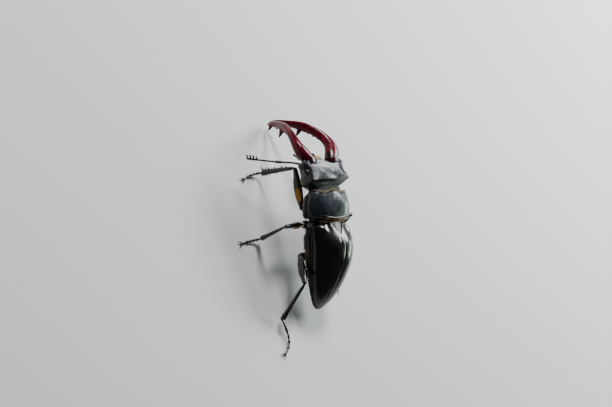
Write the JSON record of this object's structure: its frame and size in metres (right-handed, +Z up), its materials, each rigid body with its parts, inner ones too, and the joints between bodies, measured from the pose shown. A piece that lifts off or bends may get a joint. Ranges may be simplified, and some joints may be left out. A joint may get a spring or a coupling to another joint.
{
  "type": "male stag beetle model",
  "caption": "Still life-size model of a large male stag beetle with long curved jaws, standing with its head lowered, legs and feelers spread.",
  "frame": {"origin": "on the floor under the middle of the whole beetle, the bottom centre of its box", "axes": "+Z up from the floor, -Y the way the head faces, +X towards the beetle's own left side"},
  "size_m": [0.0566, 0.0812, 0.0229],
  "materials": {
    "jaw": "deep glossy chestnut red, nearly black at the base, teeth and tips",
    "head_shell": "satin blue-black, finely granular",
    "pronotum_shell": "satin blue-black, finely pitted, with short golden hair along its front and rear edges",
    "scutellum_shell": "dull brown-black under short golden-grey hair",
    "elytra_shell": "glossy black-brown, smooth, with very fine pits",
    "underside": "satin dark brown with short golden hair",
    "leg_shell": "glossy black, with a patch of orange-gold hair on the femora",
    "feeler_shell": "satin black, the leaves of the club dusty grey",
    "eye_shell": "glossy black, finely faceted"
  },
  "bodies": {
    "root": {"abdomen_1": "underside", "abdomen_2": "underside", "abdomen_3": "underside", "abdomen_4": "underside", "abdomen_5": "underside", "antenna_left_club": "feeler_shell", "antenna_left_funicle": "feeler_shell", "antenna_left_scape": "feeler_shell", "antenna_right_club": "feeler_shell", "antenna_right_funicle": "feeler_shell", "antenna_right_scape": "feeler_shell", "clypeus": "head_shell", "coxa_fore_left": "leg_shell", "coxa_fore_right": "leg_shell", "coxa_hind_left": "leg_shell", "coxa_hind_right": "leg_shell", "coxa_mid_left": "leg_shell", "coxa_mid_right": "leg_shell", "elytron_left": "elytra_shell", "elytron_right": "elytra_shell", "eye_left": "eye_shell", "eye_right": "eye_shell", "femur_fore_left": "leg_shell", "femur_fore_right": "leg_shell", "femur_hind_left": "leg_shell", "femur_hind_right": "leg_shell", "femur_mid_left": "leg_shell", "femur_mid_right": "leg_shell", "head": "head_shell", "mandible_left": "jaw", "mandible_right": "jaw", "mentum": "head_shell", "mesothorax": "underside", "metathorax": "underside", "palp_labial_left": "feeler_shell", "palp_labial_right": "feeler_shell", "palp_maxillary_left": "feeler_shell", "palp_maxillary_right": "feeler_shell", "pronotum": "pronotum_shell", "prosternum": "underside", "scutellum": "scutellum_shell", "tarsus_fore_left": "leg_shell", "tarsus_fore_right": "leg_shell", "tarsus_hind_left": "leg_shell", "tarsus_hind_right": "leg_shell", "tarsus_mid_left": "leg_shell", "tarsus_mid_right": "leg_shell", "tibia_fore_left": "leg_shell", "tibia_fore_right": "leg_shell", "tibia_hind_left": "leg_shell", "tibia_hind_right": "leg_shell", "tibia_mid_left": "leg_shell", "tibia_mid_right": "leg_shell"}
  },
  "joints": []
}
